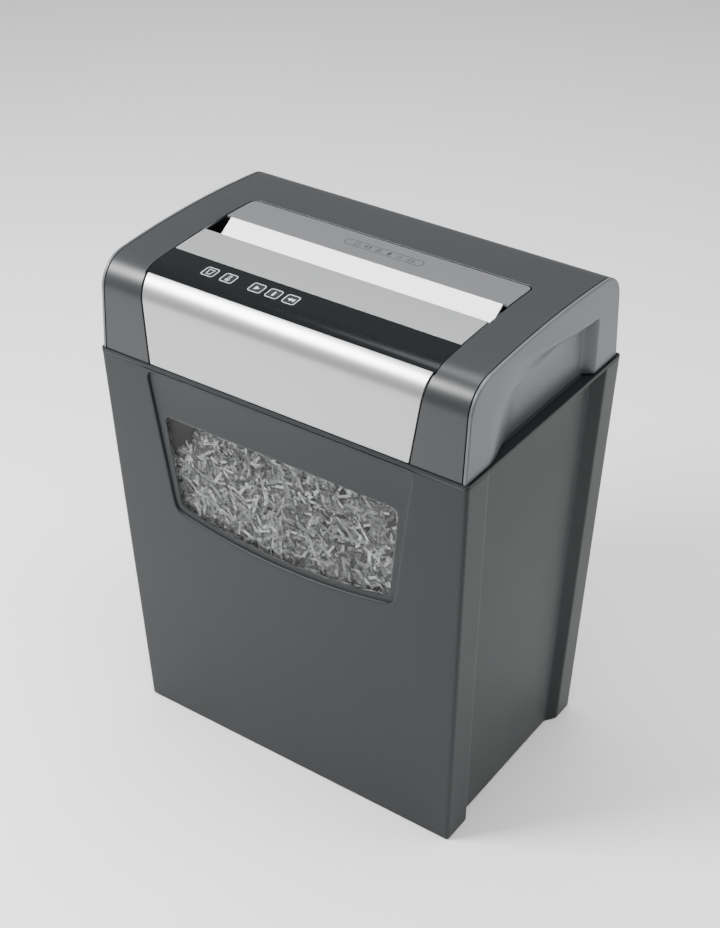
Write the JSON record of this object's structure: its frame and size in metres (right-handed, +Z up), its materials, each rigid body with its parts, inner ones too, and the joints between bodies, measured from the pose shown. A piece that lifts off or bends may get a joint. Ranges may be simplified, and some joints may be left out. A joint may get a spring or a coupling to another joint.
{
  "type": "paper shredder",
  "caption": "Cross-cut paper shredder: a tapered waste bin with a viewing window and shredded paper, under a lift-off cutting head with a paper slot and a button strip.",
  "frame": {"origin": "centre of the bin's base, on the floor", "axes": "+Z up, the front with the window and the button strip faces -Y, +X to the right seen from the front"},
  "size_m": [0.325, 0.215, 0.4221],
  "materials": {
    "bin_plastic": "satin",
    "shell_plastic": "satin",
    "silver_paint": "satin",
    "guide_silver": "satin",
    "gloss_black": "gloss",
    "clear_pane": "gloss",
    "shredded_paper": "matte",
    "tray_plastic": "matte",
    "button_black": "gloss",
    "lens_smoke": "gloss",
    "cutter_steel": "satin",
    "shaft_steel": "polished",
    "plate_steel": "satin",
    "zinc_screw": "satin",
    "spacer_steel": "satin",
    "bronze_bush": "satin",
    "gear_nylon": "satin",
    "gear_steel": "satin",
    "comb_plastic": "matte",
    "motor_can": "satin",
    "board_green": "satin",
    "component_black": "satin",
    "led_clear": "gloss",
    "spring_steel": "polished",
    "white_acetal": "satin",
    "gland_rubber": "matte"
  },
  "bodies": {
    "bin": {"bin_shell": "bin_plastic", "window_pane": "clear_pane", "paper_shreds": "shredded_paper"},
    "head": {"top_cover": "shell_plastic", "right_side_panel": "shell_plastic", "left_side_panel": "shell_plastic", "front_panel": "silver_paint", "control_strip": "gloss_black", "front_guide": "guide_silver", "rear_guide": "guide_silver", "lower_tray": "tray_plastic", "case_screws": "zinc_screw", "bin_full_lens": "lens_smoke", "overheat_lens": "lens_smoke", "left_cutter_plate": "plate_steel", "right_cutter_plate": "plate_steel", "tie_rods": "shaft_steel", "tie_rod_screws": "zinc_screw", "plate_screws": "zinc_screw", "cutter_bushes": "bronze_bush", "front_stripper_comb": "comb_plastic", "rear_stripper_comb": "comb_plastic", "motor": "motor_can", "motor_screws": "zinc_screw", "gear_axles": "shaft_steel", "gearbox_cover": "plate_steel", "gearbox_screws": "zinc_screw", "control_board": "board_green", "button_switches": "component_black", "status_leds": "led_clear", "power_board": "board_green", "board_components": "component_black", "board_screws": "zinc_screw", "interlock_spring": "spring_steel", "interlock_switch": "component_black", "paper_sensor_emitter": "component_black", "paper_sensor_receiver": "component_black", "cord_gland": "gland_rubber"},
    "front_cutter": {"front_cutter_shaft": "shaft_steel", "front_cutter_discs": "cutter_steel", "front_disc_spacers": "spacer_steel", "front_timing_gear": "gear_steel"},
    "rear_cutter": {"rear_cutter_shaft": "shaft_steel", "rear_cutter_discs": "cutter_steel", "rear_disc_spacers": "spacer_steel", "rear_timing_gear": "gear_steel", "final_gear": "gear_steel"},
    "second_reduction": {"second_gear": "gear_nylon"},
    "first_reduction": {"first_gear": "gear_nylon"},
    "motor_rotor": {"motor_shaft": "shaft_steel", "motor_pinion": "gear_steel"},
    "forward_key": {"forward_button": "button_black"},
    "stop_key": {"stop_button": "button_black"},
    "reverse_key": {"reverse_button": "button_black"},
    "interlock": {"interlock_plunger": "white_acetal"}
  },
  "joints": [
    {"name": "head_lift", "type": "slide", "parent": "bin", "child": "head", "axis": [0, 0, 1], "range_m": [0, 0.0935]},
    {"name": "rear_cutter_spin", "type": "hinge", "parent": "head", "child": "rear_cutter", "pos_m": [0, -0.0047, 0.3543], "axis": [1, 0, 0], "continuous": true},
    {"name": "front_cutter_spin", "type": "hinge", "parent": "head", "child": "front_cutter", "pos_m": [0, -0.0387, 0.3543], "axis": [1, 0, 0], "continuous": true},
    {"name": "second_gear_spin", "type": "hinge", "parent": "head", "child": "second_reduction", "pos_m": [0, 0.01064, 0.38687], "axis": [1, 0, 0], "continuous": true},
    {"name": "first_gear_spin", "type": "hinge", "parent": "head", "child": "first_reduction", "pos_m": [0, 0.038, 0.37455], "axis": [1, 0, 0], "continuous": true},
    {"name": "motor_spin", "type": "hinge", "parent": "head", "child": "motor_rotor", "pos_m": [0, 0.052, 0.3503], "axis": [1, 0, 0], "continuous": true},
    {"name": "forward_press", "type": "slide", "parent": "head", "child": "forward_key", "axis": [0, 0.0856, -0.9963], "range_m": [0, 0.0008], "stiffness_N_per_m": 400},
    {"name": "stop_press", "type": "slide", "parent": "head", "child": "stop_key", "axis": [0, 0.0856, -0.9963], "range_m": [0, 0.0008], "stiffness_N_per_m": 400},
    {"name": "reverse_press", "type": "slide", "parent": "head", "child": "reverse_key", "axis": [0, 0.0856, -0.9963], "range_m": [0, 0.0008], "stiffness_N_per_m": 400},
    {"name": "interlock_press", "type": "slide", "parent": "head", "child": "interlock", "axis": [0, 0, 1], "range_m": [0, 0.002], "stiffness_N_per_m": 150, "deforming": ["interlock_spring"]}
  ],
  "couplings": [
    {"joint": "front_cutter_spin", "follows": "rear_cutter_spin", "ratio": -1},
    {"joint": "second_gear_spin", "follows": "rear_cutter_spin", "ratio": -3},
    {"joint": "first_gear_spin", "follows": "rear_cutter_spin", "ratio": 9},
    {"joint": "motor_spin", "follows": "rear_cutter_spin", "ratio": -54}
  ]
}
